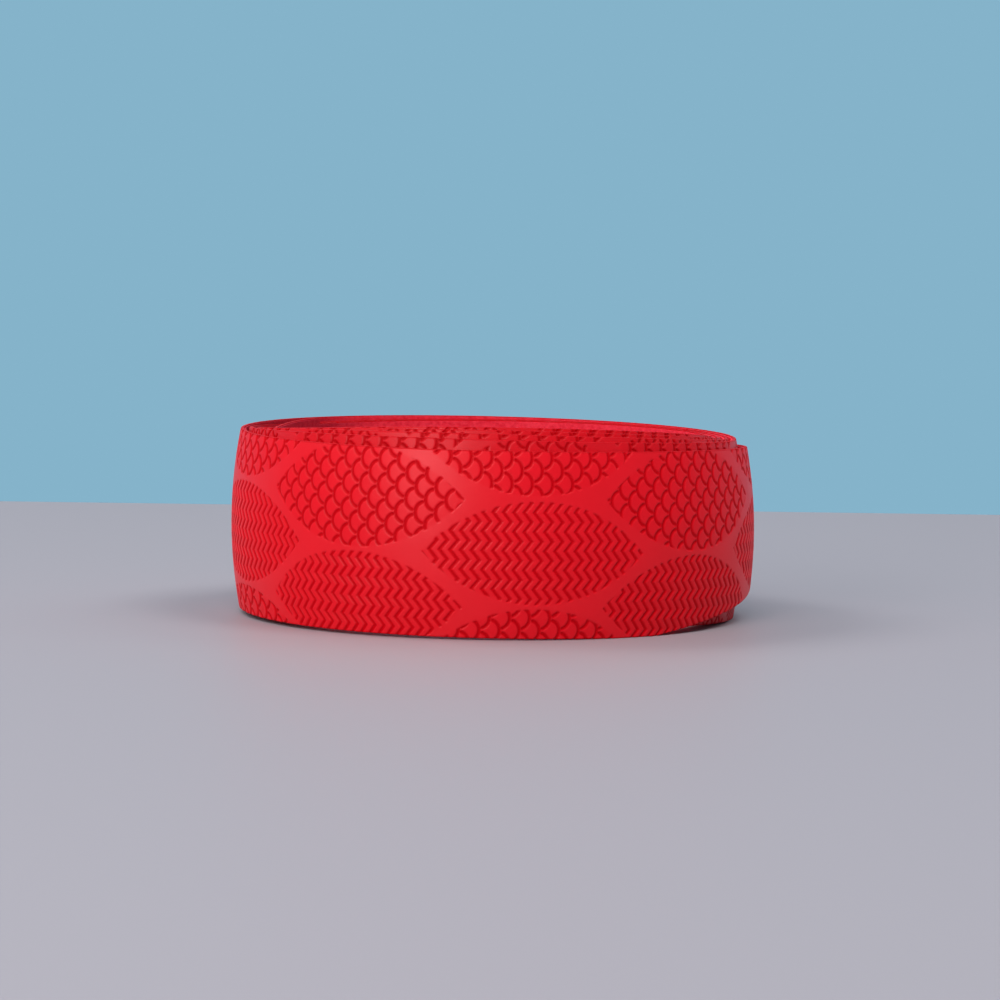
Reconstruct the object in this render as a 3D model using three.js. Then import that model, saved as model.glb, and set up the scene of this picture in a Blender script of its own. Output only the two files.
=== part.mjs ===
// Grip tape roll: one embossed overgrip strip wound loosely into an open
// coil that stands on its lower edge. Millimetres, +Z up.
//
// The strip is a laminate: an embossed polyurethane face on the outside of
// every turn and a thin nonwoven backing on the inside. Its outer end is cut to
// a taper, carries a short double-sided adhesive strip on its back, and that
// strip is covered by a release liner. Both free ends of the strip flex, so
// each is a body of its own, hinged where the strip leaves the coil.
//
// Angles are in degrees around the coil axis: 0 is the front (-Y), growing
// through the right (+X), the back (+Y) and the left (-X). The strip winds
// outwards as the angle grows.
import * as THREE from 'three';

// ---- driving dimensions -------------------------------------------------
const TAPE_WIDTH = 25.0;        // width of the strip
const FACE_THICKNESS = 0.45;    // polyurethane face
const BOND_GAP = 0.05;          // bond line between face and backing
const BACKING_THICKNESS = 0.25; // nonwoven backing
const FRONT_RADIUS = 36.53;     // outside of the outer turn at the front
const BARREL_SAG = 1.2;         // how far the edges curl in from the middle
const OUTER_PITCH = 1.5;        // radial growth per turn, outer turn
const INNER_PITCH = 1.1;        // radial growth per turn, inner turns
const OUTER_END = 187.5;        // cut outer end
const OUTER_HINGE = 105;        // where the outer end starts to lift
const INNER_HINGE = -1515;      // where the inner end starts to lift
const INNER_END = -1560;        // cut inner end
const HINGE_GAP = 0.3;          // gap at each hinge line, along the strip
const STEP = 7.5;               // angular step of the facets
const TAPER_START = 38;         // where the lower edge starts to rise
const TAPER_SLOPE = 0.156;      // rise per mm of strip (about 9 degrees)
const ADHESIVE_FROM = 157.5;    // adhesive strip, from here to the outer end
const ADHESIVE_THICKNESS = 0.12;
const LINER_THICKNESS = 0.10;
const LAYER_GAP = 0.05;         // between the backing, the adhesive and the liner

// ---- shape of the wound strip -------------------------------------------
const rad = Math.PI / 180;
const clamp01 = (x) => Math.min(1, Math.max(0, x));
const ease = (x) => { const u = clamp01(x); return u * u * (3 - 2 * u); };

// Radius of the outside of the strip at the middle of its width.
function radius(a) {
  let r = a >= -180
    ? FRONT_RADIUS + OUTER_PITCH * a / 360
    : FRONT_RADIUS - OUTER_PITCH / 2 + INNER_PITCH * (a + 180) / 360;
  r += 1.2 * ease((a - 60) / 130);        // the outer end springs away a little
  r -= 1.4 * ease((-1522 - a) / 38);      // the inner end leans into the hollow
  return r;
}

// Each inner turn stands a little prouder at the front than the one around it.
const WAVES = [
  { at: -380, half: 105, rise: 1.70 },
  { at: -732, half: 102, rise: 2.35 },
  { at: -1086, half: 100, rise: 2.75 },
  { at: -1440, half: 98, rise: 3.05 },
];

// Height of the strip's lower edge before the taper is cut.
function lowerEdge(a) {
  const t = a * rad;
  let b;
  if (a >= 90) {
    const q = 90 * rad, d = t - q;
    b = 0.224 - 0.2768 * q - 0.3809 * q * q - 1.473 * d + 0.25 * d * d;
  } else if (a >= 0) b = 0.224 - 0.2768 * t - 0.3809 * t * t;
  else if (a >= -80) b = 0.224 - 0.2768 * t;
  else if (a >= -270) {
    // eases from 0.61 at -80 degrees to the floor at -270 degrees
    const L = 190 * rad, u = (a + 270) / 190, m = -0.2768 * L;
    b = 0.6105 * u * u * (3 - 2 * u) + m * (u * u * u - u * u);
  } else b = 0;
  for (const w of WAVES) {
    const u = (a - w.at) / w.half;
    if (Math.abs(u) < 1) b += w.rise * Math.pow(1 - u * u, 1.5);
  }
  if (a < -1500) {                         // the inner end stays up a little
    const u = ease((-1500 - a) / 60);
    b = b * (1 - u) + 1.1 * u;
  }
  return b;
}

// How much of the width is missing at the bottom: the taper, and the floor.
function lowerTrim(a) {
  const s = (a - TAPER_START) * rad * FRONT_RADIUS;
  return Math.max(0, TAPER_SLOPE * s, -lowerEdge(a));
}

// How far the strip curls in at height w, on flats between its lower edge, the
// middle and its upper edge, the same for every layer of the laminate.
function curl(a, w) {
  const at = (v) => { const k = (v - TAPE_WIDTH / 2) / (TAPE_WIDTH / 2); return BARREL_SAG * k * k; };
  const w0 = lowerTrim(a), w2 = TAPE_WIDTH, w1 = (w0 + w2) / 2;
  return w < w1
    ? at(w0) + (at(w1) - at(w0)) * (w - w0) / (w1 - w0)
    : at(w1) + (at(w2) - at(w1)) * (w - w1) / (w2 - w1);
}

// A point at angle a, height w above the strip's lower edge, and a depth below
// the outside of the strip.
function point(a, w, depth) {
  const r = radius(a) - curl(a, w) - depth;
  return [r * Math.sin(a * rad), -r * Math.cos(a * rad), lowerEdge(a) + w];
}

// ---- one layer of the strip as a closed solid ---------------------------
// Rows across the width are the same on both sides, and so are the diagonals,
// so that neighbouring layers stay parallel.
const ROWS = 3;
function layer(from, to, depth0, depth1, low, high) {
  const angles = [from];
  for (let a = Math.ceil((from + 1) / STEP) * STEP; a < to - 1; a += STEP) angles.push(a);
  angles.push(to);
  const pos = [], idx = [];
  for (const a of angles) {
    for (const depth of [depth0, depth1]) {
      for (let j = 0; j < ROWS; j++) {
        const w = low(a) + (high(a) - low(a)) * j / (ROWS - 1);
        pos.push(...point(a, w, depth));
      }
    }
  }
  const O = (i, j) => i * 2 * ROWS + j;         // outside row j at station i
  const I = (i, j) => i * 2 * ROWS + ROWS + j;  // inside row j at station i
  const n = angles.length;
  for (let i = 0; i < n - 1; i++) {
    for (let j = 0; j < ROWS - 1; j++) {
      idx.push(O(i, j), O(i + 1, j), O(i + 1, j + 1), O(i, j), O(i + 1, j + 1), O(i, j + 1));
      idx.push(I(i, j), I(i + 1, j + 1), I(i + 1, j), I(i, j), I(i, j + 1), I(i + 1, j + 1));
    }
    const t = ROWS - 1;
    idx.push(O(i, t), O(i + 1, t), I(i + 1, t), O(i, t), I(i + 1, t), I(i, t));
    idx.push(O(i, 0), I(i, 0), I(i + 1, 0), O(i, 0), I(i + 1, 0), O(i + 1, 0));
  }
  for (let j = 0; j < ROWS - 1; j++) {
    const e = n - 1;
    idx.push(O(0, j), O(0, j + 1), I(0, j + 1), O(0, j), I(0, j + 1), I(0, j));
    idx.push(O(e, j), I(e, j), I(e, j + 1), O(e, j), I(e, j + 1), O(e, j + 1));
  }
  const g = new THREE.BufferGeometry();
  g.setAttribute('position', new THREE.Float32BufferAttribute(pos, 3));
  g.setIndex(idx);
  g.computeVertexNormals();
  return g;
}

// ---- materials ----------------------------------------------------------
const faceRed = new THREE.MeshStandardMaterial({ color: 0xdf2233, roughness: 0.55, metalness: 0 });
const backingRed = new THREE.MeshStandardMaterial({ color: 0xc81c2c, roughness: 0.9, metalness: 0 });
const adhesiveClear = new THREE.MeshStandardMaterial({ color: 0xe6d9c4, roughness: 0.45, metalness: 0 });
const linerWhite = new THREE.MeshStandardMaterial({ color: 0xf2efe8, roughness: 0.5, metalness: 0 });

// ---- assembly -----------------------------------------------------------
const roll = new THREE.Group();
roll.name = 'grip_tape_roll';
const add = (name, geometry, material) => {
  const mesh = new THREE.Mesh(geometry, material);
  mesh.name = name;
  roll.add(mesh);
};

const full = () => TAPE_WIDTH;
const halfGap = HINGE_GAP / 2 / FRONT_RADIUS / rad;   // in degrees
const D1 = FACE_THICKNESS;
const D2 = FACE_THICKNESS + BOND_GAP;
const D3 = D2 + BACKING_THICKNESS;

// the coil: everything between the two hinge lines
add('grip_face', layer(INNER_HINGE + halfGap, OUTER_HINGE - halfGap, 0, D1, lowerTrim, full), faceRed);
add('grip_backing', layer(INNER_HINGE + halfGap, OUTER_HINGE - halfGap, D2, D3, lowerTrim, full), backingRed);
// the tapered outer end
add('outer_end_face', layer(OUTER_HINGE + halfGap, OUTER_END, 0, D1, lowerTrim, full), faceRed);
add('outer_end_backing', layer(OUTER_HINGE + halfGap, OUTER_END, D2, D3, lowerTrim, full), backingRed);
// the square inner end
add('inner_end_face', layer(INNER_END, INNER_HINGE - halfGap, 0, D1, lowerTrim, full), faceRed);
add('inner_end_backing', layer(INNER_END, INNER_HINGE - halfGap, D2, D3, lowerTrim, full), backingRed);
// starter adhesive on the back of the tapered end, under its release liner
const A0 = D3 + LAYER_GAP, A1 = A0 + ADHESIVE_THICKNESS;
const L0 = A1 + LAYER_GAP, L1 = L0 + LINER_THICKNESS;
add('adhesive_strip', layer(ADHESIVE_FROM, OUTER_END, A0, A1,
  (a) => lowerTrim(a) + 1.0, () => TAPE_WIDTH - 1.0), adhesiveClear);
add('release_liner', layer(ADHESIVE_FROM, OUTER_END, L0, L1,
  (a) => lowerTrim(a) + 0.6, () => TAPE_WIDTH - 0.6), linerWhite);

// The origin is at the middle of the footprint, on the surface it stands on.
const box = new THREE.Box3();
for (const mesh of roll.children) {
  mesh.geometry.computeBoundingBox();
  box.union(mesh.geometry.boundingBox);
}
roll.position.set(-(box.min.x + box.max.x) / 2, -(box.min.y + box.max.y) / 2, 0);

export default roll;
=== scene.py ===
import bpy, math
import numpy as np
from mathutils import Matrix, Vector


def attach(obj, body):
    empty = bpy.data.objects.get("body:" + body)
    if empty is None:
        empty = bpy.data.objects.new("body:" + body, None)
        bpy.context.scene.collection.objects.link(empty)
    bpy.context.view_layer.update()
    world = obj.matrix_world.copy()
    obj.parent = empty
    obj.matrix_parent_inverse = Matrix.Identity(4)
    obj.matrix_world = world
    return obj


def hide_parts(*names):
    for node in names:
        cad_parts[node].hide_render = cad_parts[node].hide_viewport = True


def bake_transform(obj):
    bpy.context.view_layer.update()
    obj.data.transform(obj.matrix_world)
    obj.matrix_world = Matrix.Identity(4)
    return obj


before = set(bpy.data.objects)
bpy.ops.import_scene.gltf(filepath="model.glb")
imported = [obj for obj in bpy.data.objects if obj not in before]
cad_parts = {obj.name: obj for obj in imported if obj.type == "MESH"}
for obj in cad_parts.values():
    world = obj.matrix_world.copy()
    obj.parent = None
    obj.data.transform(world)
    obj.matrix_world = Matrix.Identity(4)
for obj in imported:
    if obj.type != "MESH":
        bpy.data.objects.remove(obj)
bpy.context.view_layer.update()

scene = bpy.context.scene
rad = math.pi / 180.0

# ---------------------------------------------------------------- the wound strip
# The same numbers as the CAD model, in millimetres; the origin shift puts the
# coil's axis where the CAD model has it.
WIDTH = 25.0
FACE_T = 0.45
BOND = 0.05
BACK_T = 0.25
R0 = 36.53
SAG = 1.2
AXIS = (-0.4304313659667969, -0.9547748565673828)
END_OUT, HINGE_OUT, HINGE_IN, END_IN = 187.5, 105.0, -1515.0, -1560.0
INNER_EASE = 0.0137


def ease(x):
    u = np.clip(x, 0, 1)
    return u * u * (3 - 2 * u)


def radius(a):
    r = np.where(a >= -180, R0 + 1.5 * a / 360, R0 - 0.75 + 1.1 * (a + 180) / 360)
    return r + 1.2 * ease((a - 60) / 130) - 1.4 * ease((-1522 - a) / 38)


WAVES = [(-380, 105, 1.70), (-732, 102, 2.35), (-1086, 100, 2.75), (-1440, 98, 3.05)]


def lower(a):
    t = a * rad
    q = 90 * rad
    d = t - q
    b90 = 0.224 - 0.2768 * q - 0.3809 * q * q - 1.473 * d + 0.25 * d * d
    b0 = 0.224 - 0.2768 * t - 0.3809 * t * t
    b80 = 0.224 - 0.2768 * t
    u = (a + 270) / 190
    b27 = 0.6105 * u * u * (3 - 2 * u) + (-0.2768 * 190 * rad) * (u * u * u - u * u)
    b = np.where(a >= 90, b90, np.where(a >= 0, b0, np.where(a >= -80, b80, np.where(a >= -270, b27, 0.0))))
    for at, half, rise in WAVES:
        u = (a - at) / half
        b = b + np.where(np.abs(u) < 1, rise * np.power(np.clip(1 - u * u, 0, 1), 1.5), 0)
    u = ease((-1500 - a) / 60)
    return np.where(a < -1500, b * (1 - u) + 1.1 * u, b)


def trim(a):
    return np.maximum(np.maximum(0, 0.156 * (a - 38) * rad * R0), -lower(a))


# length along the strip, zero at the front of the outer turn
_ga = np.arange(END_IN - 1, END_OUT + 1.001, 0.25)
_gr = radius(_ga) - 0.1
_gs = np.concatenate([[0], np.cumsum((_gr[1:] + _gr[:-1]) / 2 * 0.25 * rad)])
_gs -= np.interp(0, _ga, _gs)


# the strip was wound by hand: the pattern is pulled or eased a little along it
_ks = np.array([-75.0, -50, -44, -38, -32, -26, -20, -13, -6, 0, 6, 13, 20, 26, 32, 38, 44, 50, 75])
_kd = np.array([0.30, 0.50, -0.10, -0.35, -0.23, 0.10, 0.00, 0.04, -0.07, -0.26, -0.22, -0.32, -0.18, -0.16, -0.16, -0.31, -0.80, -1.40, -1.60])
_kw = np.array([0.05, -0.05, 0.10, 0.06, 0.07, 0.17, 0.24, 0.23, 0.24, 0.24, 0.26, 0.20, 0.22, 0.22, 0.22, 0.17, 0.12, 0.05, 0.00])


def along(a):
    s = np.interp(a, _ga, _gs)
    s = s + np.interp(s, _ks, _kd)
    return np.where(a < -90, s + (s - np.interp(-90, _ga, _gs)) * INNER_EASE, s)


def place(a, w, depth):
    """a in degrees, w mm above the lower edge, depth mm below the outside; metres."""
    k = (w - WIDTH / 2) / (WIDTH / 2)
    r = radius(a) - SAG * k * k - depth
    return np.stack([(r * np.sin(a * rad) + AXIS[0]) / 1000, (-r * np.cos(a * rad) + AXIS[1]) / 1000, (lower(a) + w) / 1000], -1)


# ---------------------------------------------------------------- embossed pattern
# Lens-shaped fields in two alternating columns. Fields of fish scales and
# fields of zigzag grooves; the second column is the mirror of the first.
PERIOD = 50.1
PX, PZ = 2.745, 1.728              # scale pitch and row spacing
RX, RZ, UC, CUT = 1.40, 1.475, -0.44, -0.46   # one scale's arc: radii, centre, where it stops
GX, GZ, GAMP = 1.385, 2.565, 1.04  # zigzag pitch, period, swing
# column centre, height of the centre, kind, opens right, phase along, phase up
FIELDS = [
    (6.29, 11.74, "zig", 1, 1.443, 0.31),
    (6.17, 26.25, "scale", -1, 1.69, 3.333),
    (6.10, -2.62, "scale", -1, 1.62, 0.50),
    (-18.78, 18.72, "scale", 1, -0.36, 1.55),
    (-19.02, 4.33, "zig", 1, -0.23, 0.88),
]
LEN_A, LEN_H = 15.3, 6.85
SCALE_HALF, ZIG_HALF = 0.285, 0.262


def smooth(x, lo, hi):
    u = np.clip((x - lo) / (hi - lo), 0, 1)
    return u * u * (3 - 2 * u)


def scale_dist(u0, v0, side):
    """Distance to the nearest scale's rounded outline; each arc stops short of its neighbours."""
    u0 = u0 * side
    tip = RZ * math.sqrt(1 - (CUT / RX) ** 2)
    best = np.full(u0.shape, 9.0)
    for k in (0, 1):
        u = u0 - UC - k * PX / 2
        v = v0 - k * PZ
        v = v - 2 * PZ * np.round(v / (2 * PZ))
        base = u - PX * np.round(u / PX)
        for sh in (-PX, 0.0, PX):
            du = base + sh
            arc = np.abs(np.hypot(du / RX, v / RZ) - 1) * (RX + RZ) / 2
            end = np.hypot(du - CUT, np.abs(v) - tip)
            best = np.minimum(best, np.where(du <= CUT, arc, end))
    return best


def zig_dist(u0, v0):
    t = v0 / GZ
    tri = 2 * np.abs(t - np.floor(t + 0.5))
    u = u0 - GAMP * (tri - 0.5)
    u = u - GX * np.round(u / GX)
    return np.abs(u) * math.cos(math.atan2(GAMP, GZ / 2))


def emboss(s, w):
    """(relief, groove tint, inside a field), each 0..1, at strip coordinates in mm. The groove tint is partly the
    grooves' own deeper colour and partly painted shade for the shade inside them.
    """
    relief, tint_and_shade, field = (np.zeros(s.shape) for _ in range(3))
    big = (LEN_A ** 2 + LEN_H ** 2) / (2 * LEN_H)
    w = w + np.interp(s, _ks, _kw)
    for cs, cw, kind, side, ps, pw in FIELDS:
        m = np.round((s - cs) / PERIOD)
        u = s - cs - m * PERIOD
        v = w - cw
        edge = big - np.maximum(np.hypot(u, v + big - LEN_H), np.hypot(u, v - big + LEN_H))
        inside = smooth(edge, -0.12, 0.06)
        if kind == "scale":
            d = scale_dist(u - ps, v - pw, side)
            half = SCALE_HALF
        else:
            d = zig_dist(u - ps, v - pw)
            half = ZIG_HALF
        relief = np.maximum(relief, (1 - smooth(d, half - 0.20, half + 0.04)) * inside)
        # partly painted shade: the groove tint also stands in for the shade inside the grooves
        tint_and_shade = np.maximum(tint_and_shade, (1 - smooth(d, half - 0.14, half + 0.07)) * inside)
        field = np.maximum(field, smooth(edge, -0.3, 0.3))
    return relief, tint_and_shade, field


# ---------------------------------------------------------------- mesh helpers
GROOVE_DEPTH = 0.125


def ring_solid(name, angles, rows_out, rows_in, d0, d1, rough=0.0, low_gap=0.0, high_gap=0.0, pattern=False, depth=GROOVE_DEPTH, seed=1, edge_round=0.1):
    """A closed strip layer. rows_* are fractions 0..1 up the strip's width."""
    a = np.asarray(angles, float)
    no, ni = len(rows_out), len(rows_in)
    A_o, F_o = np.meshgrid(a, rows_out, indexing="ij")
    A_i, F_i = np.meshgrid(a, rows_in, indexing="ij")
    lo_o, lo_i = trim(A_o) + low_gap, trim(A_i) + low_gap
    hi = WIDTH - high_gap
    W_o = lo_o + (hi - lo_o) * F_o
    W_i = lo_i + (hi - lo_i) * F_i
    D_o = np.full(A_o.shape, float(d0))
    g, f, field = (np.zeros(A_o.shape) for _ in range(3))
    S_o = along(A_o)
    if pattern:
        g, f, field = emboss(S_o, W_o)
        D_o = D_o + depth * g
    # the outside edges are rounded over, as a cut soft edge is
    t = np.minimum(W_o - lo_o, hi - W_o)
    k = np.clip(1 - t / edge_round, 0, 1) if edge_round else 0 * t
    D_o = D_o + edge_round * (1 - np.sqrt(1 - k * k))
    if rough:
        # it is never pulled dead flat
        D_o = D_o + rough * (1 + wobble(S_o, W_o, seed))
    D_i = np.full(A_i.shape, float(d1))
    P_o = place(A_o, W_o, D_o).reshape(-1, 3)
    P_i = place(A_i, W_i, D_i).reshape(-1, 3)
    n = len(a)
    io = np.arange(n * no).reshape(n, no)
    ii = n * no + np.arange(n * ni).reshape(n, ni)
    q = [
        np.stack([io[:-1, :-1], io[1:, :-1], io[1:, 1:], io[:-1, 1:]], -1).reshape(-1, 4),
        np.stack([ii[:-1, :-1], ii[:-1, 1:], ii[1:, 1:], ii[1:, :-1]], -1).reshape(-1, 4),
        np.stack([io[:-1, -1], io[1:, -1], ii[1:, -1], ii[:-1, -1]], -1).reshape(-1, 4),
        np.stack([io[:-1, 0], ii[:-1, 0], ii[1:, 0], io[1:, 0]], -1).reshape(-1, 4),
    ]
    quads = np.concatenate(q)
    # end caps: one many-sided face each, facing out along the strip
    me_caps = []
    me_caps.append(np.concatenate([io[0, :], ii[0, ::-1]]))
    me_caps.append(np.concatenate([io[-1, ::-1], ii[-1, :]]))
    co = np.concatenate([P_o, P_i])
    side = np.concatenate([np.zeros(n * no), np.ones(n * ni)])
    edge = np.clip(1.25 - t / 0.16, 0, 1)
    # painted shade: the wound-in turns are drawn darker than the outside turn, and the cut edges darker too, standing
    # in for the shade they get; the hidden inner side of the face layer is drawn darker as well
    painted_shade = np.maximum(0.18 * ease((-190 - A_o) / 110), 0.20 * edge)
    attrs = {
        # groove tint, partly painted shade; the cut edges are drawn darker through it as painted shade
        "groove_tint_and_shade": np.concatenate([np.maximum(f, 0.45 * edge).ravel(), np.zeros(n * ni)]),
        "dull": np.concatenate([np.maximum(np.maximum(f, edge), 0.35 * field).ravel(), np.ones(n * ni)]),
        "painted_shade": np.concatenate([painted_shade.ravel(), np.full(n * ni, 0.32)]) if pattern else np.concatenate([backing_painted_shade(A_o, W_o - lo_o, hi).ravel(), backing_painted_shade(A_i, W_i - lo_i, hi).ravel()]),
        "inside": side,
        "along": np.concatenate([S_o.ravel(), along(A_i).ravel()]),
        "up": np.concatenate([W_o.ravel(), W_i.ravel()]),
    }
    return finish_mesh(name, co, quads, me_caps, attrs)


def finish_mesh(name, co, quads, caps, attrs, sharp=60):
    me = bpy.data.meshes.new(name)
    me.vertices.add(len(co))
    me.vertices.foreach_set("co", np.ascontiguousarray(co, np.float32).ravel())
    nq = len(quads)
    flat = [np.ascontiguousarray(quads, np.int32).ravel()] + [np.ascontiguousarray(c, np.int32) for c in caps]
    starts = np.concatenate([np.arange(0, 4 * nq, 4), 4 * nq + np.cumsum([0] + [len(c) for c in caps[:-1]])]).astype(np.int32) if caps else np.arange(0, 4 * nq, 4, dtype=np.int32)
    flat = np.concatenate(flat)
    me.loops.add(len(flat))
    me.loops.foreach_set("vertex_index", flat)
    me.polygons.add(len(starts))
    me.polygons.foreach_set("loop_start", starts)
    me.update(calc_edges=True)
    me.polygons.foreach_set("use_smooth", np.ones(len(starts), bool))
    for key, val in attrs.items():
        at = me.attributes.new(key, "FLOAT", "POINT")
        at.data.foreach_set("value", np.ascontiguousarray(val, np.float32))
    me.set_sharp_from_angle(angle=math.radians(sharp))
    ob = bpy.data.objects.new(name, me)
    scene.collection.objects.link(ob)
    return ob


def backing_painted_shade(a, up, hi):
    """Painted shade on the cloth side: darker down one side of the coil, where the inside faces away from the lamps,
    and at its cut edges; 0..1.
    """
    away = np.abs((a + 109 + 180) % 360 - 180)
    return np.maximum(0.5 * ease((42 - away) / 24), 0.35 * (np.minimum(up, hi - up) < 0.02))


def wobble(s, w, seed):
    """Soft uneven relief, -1..1, the same every run."""
    rng = np.random.default_rng(seed)
    out = np.zeros(s.shape)
    for i in range(14):
        k = 0.5 + 3.0 * rng.random()
        th = rng.random() * math.pi
        ph = rng.random() * 2 * math.pi
        out += np.sin(k * (np.cos(th) * s + np.sin(th) * w) + ph) / (1 + k)
    return out / 3.0


# ---------------------------------------------------------------- materials
def new_material(name):
    m = bpy.data.materials.new(name)
    m.use_nodes = True
    nt = m.node_tree
    return m, nt, nt.nodes["Principled BSDF"]


def srgb(r, g, b):
    out = []
    for c in (r, g, b):
        c /= 255.0
        out.append(c / 12.92 if c <= 0.04045 else ((c + 0.055) / 1.055) ** 2.4)
    return (*out, 1.0)


def face_material():
    m, nt, bsdf = new_material("grip_face_pu")
    L = nt.links
    tc = nt.nodes.new("ShaderNodeTexCoord")
    groove_tint_and_shade = nt.nodes.new("ShaderNodeAttribute"); groove_tint_and_shade.attribute_name = "groove_tint_and_shade"
    dull = nt.nodes.new("ShaderNodeAttribute"); dull.attribute_name = "dull"
    # slow mottling of the colour
    n1 = nt.nodes.new("ShaderNodeTexNoise"); n1.inputs["Scale"].default_value = 140; n1.inputs["Detail"].default_value = 3
    L.new(tc.outputs["Object"], n1.inputs["Vector"])
    ramp = nt.nodes.new("ShaderNodeMix"); ramp.data_type = "RGBA"
    ramp.inputs["A"].default_value = (0.76, 0.0040, 0.0120, 1)
    ramp.inputs["B"].default_value = (0.82, 0.0050, 0.0145, 1)
    L.new(n1.outputs["Fac"], ramp.inputs["Factor"])
    # grooves are deeper in colour, partly their own colour and partly painted shade for the shade inside them; the cut
    # edges get painted shade through the same mix
    mg = nt.nodes.new("ShaderNodeMix"); mg.data_type = "RGBA"
    mg.inputs["B"].default_value = (0.545, 0.0, 0.004, 1)
    gf = nt.nodes.new("ShaderNodeMath"); gf.operation = "MULTIPLY"; gf.inputs[1].default_value = 0.95
    L.new(groove_tint_and_shade.outputs["Fac"], gf.inputs[0])
    L.new(gf.outputs[0], mg.inputs["Factor"])
    L.new(ramp.outputs["Result"], mg.inputs["A"])
    # painted shade: mixes the colour toward black on the wound-in turns, the cut edges and the face layer's hidden
    # inner side
    painted_shade = nt.nodes.new("ShaderNodeAttribute"); painted_shade.attribute_name = "painted_shade"
    md = nt.nodes.new("ShaderNodeMix"); md.data_type = "RGBA"
    md.inputs["B"].default_value = (0.0, 0.0, 0.0, 1)
    L.new(painted_shade.outputs["Fac"], md.inputs["Factor"])
    L.new(mg.outputs["Result"], md.inputs["A"])
    L.new(md.outputs["Result"], bsdf.inputs["Base Color"])
    # fine pores
    n2 = nt.nodes.new("ShaderNodeTexNoise"); n2.inputs["Scale"].default_value = 5200; n2.inputs["Detail"].default_value = 4; n2.inputs["Roughness"].default_value = 0.6
    L.new(tc.outputs["Object"], n2.inputs["Vector"])
    b = nt.nodes.new("ShaderNodeBump"); b.inputs["Strength"].default_value = 0.25; b.inputs["Distance"].default_value = 0.00004
    L.new(n2.outputs["Fac"], b.inputs["Height"])
    L.new(b.outputs["Normal"], bsdf.inputs["Normal"])
    # roughness varies a little
    n3 = nt.nodes.new("ShaderNodeTexNoise"); n3.inputs["Scale"].default_value = 420; n3.inputs["Detail"].default_value = 4
    L.new(tc.outputs["Object"], n3.inputs["Vector"])
    mr = nt.nodes.new("ShaderNodeMapRange"); mr.inputs["To Min"].default_value = 0.42; mr.inputs["To Max"].default_value = 0.56
    L.new(n3.outputs["Fac"], mr.inputs["Value"])
    L.new(mr.outputs["Result"], bsdf.inputs["Roughness"])
    bsdf.inputs["Specular IOR Level"].default_value = 0.04
    # the raised lands are pressed smooth and a little satin, the grooves stay dull
    coat = nt.nodes.new("ShaderNodeMapRange")
    coat.inputs["To Min"].default_value = 0.48
    coat.inputs["To Max"].default_value = 0.02
    L.new(dull.outputs["Fac"], coat.inputs["Value"])
    L.new(coat.outputs["Result"], bsdf.inputs["Coat Weight"])
    bsdf.inputs["Coat Roughness"].default_value = 0.38
    L.new(b.outputs["Normal"], bsdf.inputs["Coat Normal"])
    return m


def backing_material():
    m, nt, bsdf = new_material("grip_backing_nonwoven")
    L = nt.links
    tc = nt.nodes.new("ShaderNodeTexCoord")
    # pressed fibres: clumps, and a finer speckle over them
    n1 = nt.nodes.new("ShaderNodeTexNoise"); n1.inputs["Scale"].default_value = 1500; n1.inputs["Detail"].default_value = 5; n1.inputs["Roughness"].default_value = 0.65; n1.inputs["Distortion"].default_value = 0.2
    L.new(tc.outputs["Object"], n1.inputs["Vector"])
    mr = nt.nodes.new("ShaderNodeMapRange")
    mr.inputs["From Min"].default_value = 0.36
    mr.inputs["From Max"].default_value = 0.62
    L.new(n1.outputs["Fac"], mr.inputs["Value"])
    mx = nt.nodes.new("ShaderNodeMix"); mx.data_type = "RGBA"
    mx.inputs["A"].default_value = (0.79, 0.019, 0.042, 1)
    mx.inputs["B"].default_value = (0.96, 0.047, 0.080, 1)
    L.new(mr.outputs["Result"], mx.inputs["Factor"])
    # painted shade on the cloth side, down one side of the coil's inside and at its cut edges
    painted_shade = nt.nodes.new("ShaderNodeAttribute"); painted_shade.attribute_name = "painted_shade"
    md = nt.nodes.new("ShaderNodeMix"); md.data_type = "RGBA"
    md.inputs["B"].default_value = (0.10, 0.0, 0.012, 1)
    L.new(painted_shade.outputs["Fac"], md.inputs["Factor"])
    L.new(mx.outputs["Result"], md.inputs["A"])
    L.new(md.outputs["Result"], bsdf.inputs["Base Color"])
    b = nt.nodes.new("ShaderNodeBump"); b.inputs["Strength"].default_value = 0.5; b.inputs["Distance"].default_value = 0.0001
    L.new(n1.outputs["Fac"], b.inputs["Height"])
    L.new(b.outputs["Normal"], bsdf.inputs["Normal"])
    mq = nt.nodes.new("ShaderNodeMapRange"); mq.inputs["To Min"].default_value = 0.72; mq.inputs["To Max"].default_value = 0.92
    L.new(n1.outputs["Fac"], mq.inputs["Value"])
    L.new(mq.outputs["Result"], bsdf.inputs["Roughness"])
    bsdf.inputs["Specular IOR Level"].default_value = 0.1
    return m


def plain_material(name, colour, rough, noise_scale, bump):
    m, nt, bsdf = new_material(name)
    L = nt.links
    tc = nt.nodes.new("ShaderNodeTexCoord")
    n1 = nt.nodes.new("ShaderNodeTexNoise"); n1.inputs["Scale"].default_value = noise_scale; n1.inputs["Detail"].default_value = 4
    L.new(tc.outputs["Object"], n1.inputs["Vector"])
    mx = nt.nodes.new("ShaderNodeMix"); mx.data_type = "RGBA"
    mx.inputs["A"].default_value = tuple(c * 0.93 for c in colour[:3]) + (1,)
    mx.inputs["B"].default_value = colour
    L.new(n1.outputs["Fac"], mx.inputs["Factor"])
    L.new(mx.outputs["Result"], bsdf.inputs["Base Color"])
    b = nt.nodes.new("ShaderNodeBump"); b.inputs["Strength"].default_value = 0.3; b.inputs["Distance"].default_value = bump
    L.new(n1.outputs["Fac"], b.inputs["Height"])
    L.new(b.outputs["Normal"], bsdf.inputs["Normal"])
    bsdf.inputs["Roughness"].default_value = rough
    return m


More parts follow.
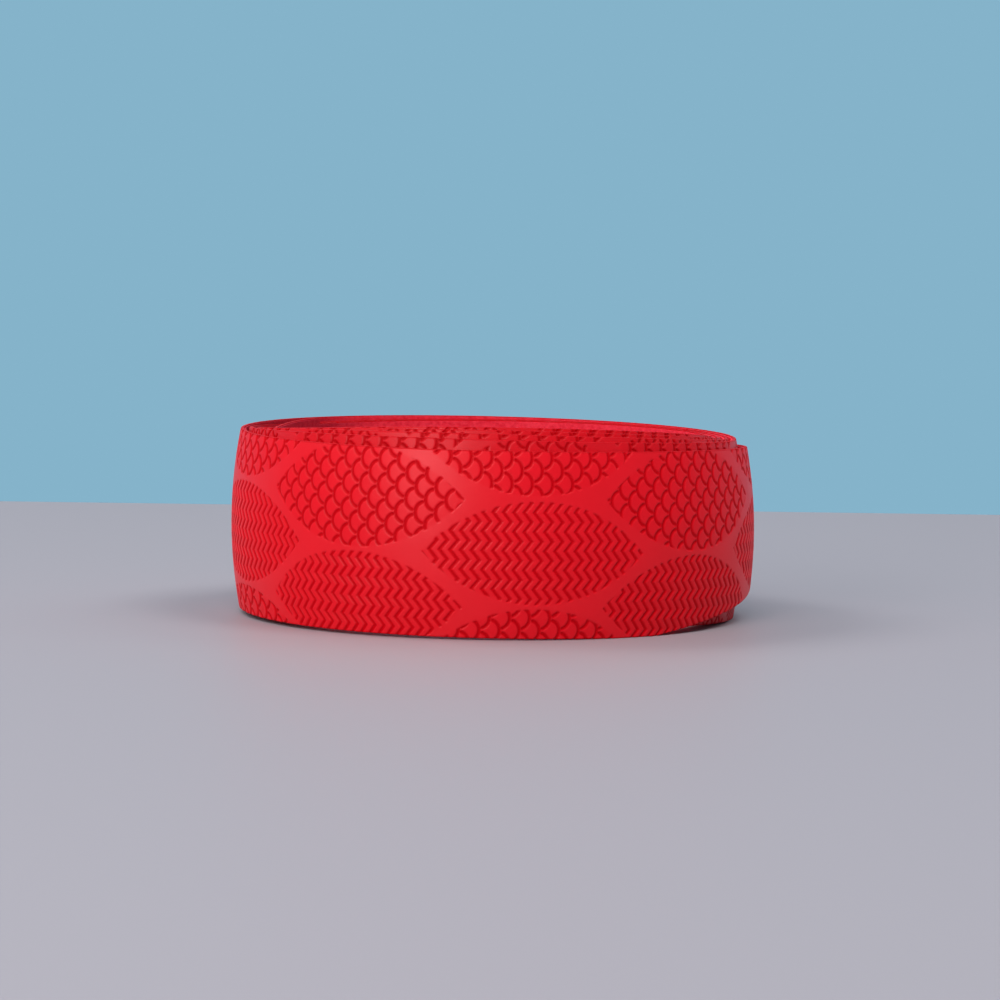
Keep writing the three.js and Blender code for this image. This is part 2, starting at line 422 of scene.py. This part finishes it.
mat_face = face_material()
mat_back = backing_material()
mat_adh = plain_material("starter_adhesive", srgb(226, 214, 190), 0.35, 300, 0.00005)
mat_liner = plain_material("release_liner_paper", srgb(240, 238, 232), 0.5, 700, 0.00003)


# ---------------------------------------------------------------- pieces
DS = 0.12       # mm along the strip, where it shows
DW = 0.125       # mm up the strip


def angles_for(a0, a1, ds):
    n = max(2, int(math.ceil((a1 - a0) * rad * 35.5 / ds)) + 1)
    return np.linspace(a0, a1, n)


EDGE = np.array([0, 0.008, 0.03, 0.07, 0.12, 0.2])


def fine_rows():
    body = np.linspace(0.2, WIDTH - 0.2, int(round((WIDTH - 0.4) / DW)) + 1)
    return np.unique(np.round(np.concatenate([EDGE, body, WIDTH - EDGE]) / WIDTH, 6))


def inner_rows():
    top = np.arange(WIDTH - 3.2, WIDTH - 0.22, DW)
    mid = np.arange(1.8, WIDTH - 3.3, 1.6)
    return np.unique(np.round(np.concatenate([EDGE, [0.6, 1.1], mid, top, WIDTH - EDGE]) / WIDTH, 6))


SIDE = np.linspace(0, 1, 9)
# seams between pieces of the one strip are cut on plain stretches
FACE = [
    ("grip_face_inner_end", END_IN, -1460.0, False),
    ("grip_face_turns_1", -1460.0, -1085.0, False),
    ("grip_face_turns_2", -1085.0, -710.0, False),
    ("grip_face_turns_3", -710.0, -330.0, False),
    ("grip_face_turn_a", -330.0, -243.0, True),
    ("grip_face_turn_b", -243.0, -156.0, True),
    ("grip_face_turn_c", -156.0, -78.0, True),
    ("grip_face_turn_d", -78.0, -8.0, True),
    ("grip_face_turn_e", -8.0, 68.0, True),
    ("grip_face_outer_end_a", 68.0, 128.0, True),
    ("grip_face_outer_end_b", 128.0, END_OUT, True),
]
for name, a0, a1, fine in FACE:
    rows = fine_rows() if fine else inner_rows()
    ob = ring_solid(name, angles_for(a0, a1, DS if fine else DS * 1.2), rows, SIDE, 0.0, FACE_T, rough=0.012, pattern=True)
    ob.data.materials.append(mat_face)
    if name.endswith("outer_end_a"):
        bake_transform(ob)
        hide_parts("outer_end_face")
    elif name.endswith("outer_end_b"):
        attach(ob, "outer_end")
        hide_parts("outer_end_face")
    elif name.endswith("inner_end"):
        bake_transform(ob)
        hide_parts("inner_end_face")
    else:
        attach(ob, "coil")
        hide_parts("grip_face")

BACK = [
    ("grip_backing_inner_end", END_IN, -1460.0),
    ("grip_backing_turns", -1460.0, 60.0),
    ("grip_backing_outer_end", 60.0, END_OUT),
]
D2 = FACE_T + BOND
D3 = D2 + BACK_T
brow = np.linspace(0, 1, 26)
for name, a0, a1 in BACK:
    ob = ring_solid(name, angles_for(a0, a1, 0.8), brow, SIDE, D2, D3, low_gap=0.12, high_gap=0.12, edge_round=0.0)
    ob.data.materials.append(mat_back)
    if name.endswith("outer_end"):
        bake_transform(ob)
        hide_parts("outer_end_backing")
    elif name.endswith("inner_end"):
        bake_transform(ob)
        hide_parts("inner_end_backing")
    else:
        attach(ob, "coil")
        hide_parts("grip_backing")

ob = ring_solid("starter_adhesive_strip", angles_for(157.5, END_OUT - 0.3, 0.8), SIDE, SIDE, D3 + 0.02, D3 + 0.14, low_gap=1.0, high_gap=1.0, edge_round=0.0)
ob.data.materials.append(mat_adh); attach(ob, "outer_end"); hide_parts("adhesive_strip")
ob = ring_solid("release_liner_sheet", angles_for(157.0, END_OUT, 0.8), SIDE, SIDE, D3 + 0.16, D3 + 0.26, low_gap=0.6, high_gap=0.6, edge_round=0.0)
ob.data.materials.append(mat_liner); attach(ob, "outer_end"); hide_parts("release_liner")

# ---------------------------------------------------------------- floor, light, camera
def plane(name, corners):
    me = bpy.data.meshes.new(name)
    me.from_pydata(corners, [], [(0, 1, 2, 3)])
    ob = bpy.data.objects.new(name, me)
    scene.collection.objects.link(ob)
    return ob


z = -0.00002
floor = plane("floor", [(-3, -3, z), (3, -3, z), (3, 0.175, z), (-3, 0.175, z)])
m, nt, bsdf = new_material("pale_floor")
bsdf.inputs["Base Color"].default_value = (0.335, 0.311, 0.325, 1)
bsdf.inputs["Roughness"].default_value = 0.55
floor.data.materials.append(m)
back = plane("backdrop", [(-5, 1.6, -2), (5, 1.6, -2), (5, 1.6, 3), (-5, 1.6, 3)])
m, nt, bsdf = new_material("pale_backdrop")
nt.nodes.remove(bsdf)
em = nt.nodes.new("ShaderNodeEmission")
em.inputs["Color"].default_value = (0.235, 0.451, 0.591, 1)
em.inputs["Strength"].default_value = 1.0
nt.links.new(em.outputs[0], nt.nodes["Material Output"].inputs["Surface"])
back.data.materials.append(m)

world = bpy.data.worlds.new("studio")
scene.world = world
world.use_nodes = True
bg = world.node_tree.nodes["Background"]
bg.inputs["Color"].default_value = (0.80, 0.93, 1.16, 1)
bg.inputs["Strength"].default_value = 0.19


def panel(name, azimuth, elevation, power, colour=(1.0, 0.94, 0.97), size=0.45, dist=1.1):
    li = bpy.data.lights.new(name, "AREA")
    li.shape = "SQUARE"
    li.size = size
    li.energy = power
    li.color = colour
    ob = bpy.data.objects.new(name, li)
    scene.collection.objects.link(ob)
    az, el = math.radians(azimuth), math.radians(elevation)
    loc = Vector((math.cos(el) * math.sin(az), -math.cos(el) * math.cos(az), math.sin(el))) * dist
    ob.location = loc
    ob.rotation_euler = (Vector((0, 0, 0.01)) - loc).to_track_quat("-Z", "Y").to_euler()


panel("key_left", -31, 18, 4.7)
panel("side_left", -70, 30, 1.6)
panel("front_high", -8, 48, 3.5)
panel("right_top", 65, 62, 4.6)
panel("right_high", 110, 45, 1.6)
panel("back_left", -110, 50, 4.0)
panel("back_far_left", -150, 50, 0.9)

cam_data = bpy.data.cameras.new("camera")
cam_data.sensor_width = 36.0
cam_data.lens = 4653.57 * 36.0 / 1000.0
cam_data.clip_start, cam_data.clip_end = 0.05, 20
cam = bpy.data.objects.new("camera", cam_data)
scene.collection.objects.link(cam)
PITCH, ROLL = 0.08168, 0.01365
fwd = Vector((0, math.cos(PITCH), -math.sin(PITCH)))
up = Vector((0, math.sin(PITCH), math.cos(PITCH)))
right = Vector((1, 0, 0))
rot = Matrix((right, up, -fwd)).transposed() @ Matrix.Rotation(ROLL, 3, "Z")
cam.matrix_world = Matrix.Translation(((1.394 + AXIS[0]) / 1000, (-650 + AXIS[1]) / 1000, 69.036 / 1000)) @ rot.to_4x4()
scene.camera = cam
scene.view_settings.view_transform = "Standard"
scene.view_settings.look = "None"
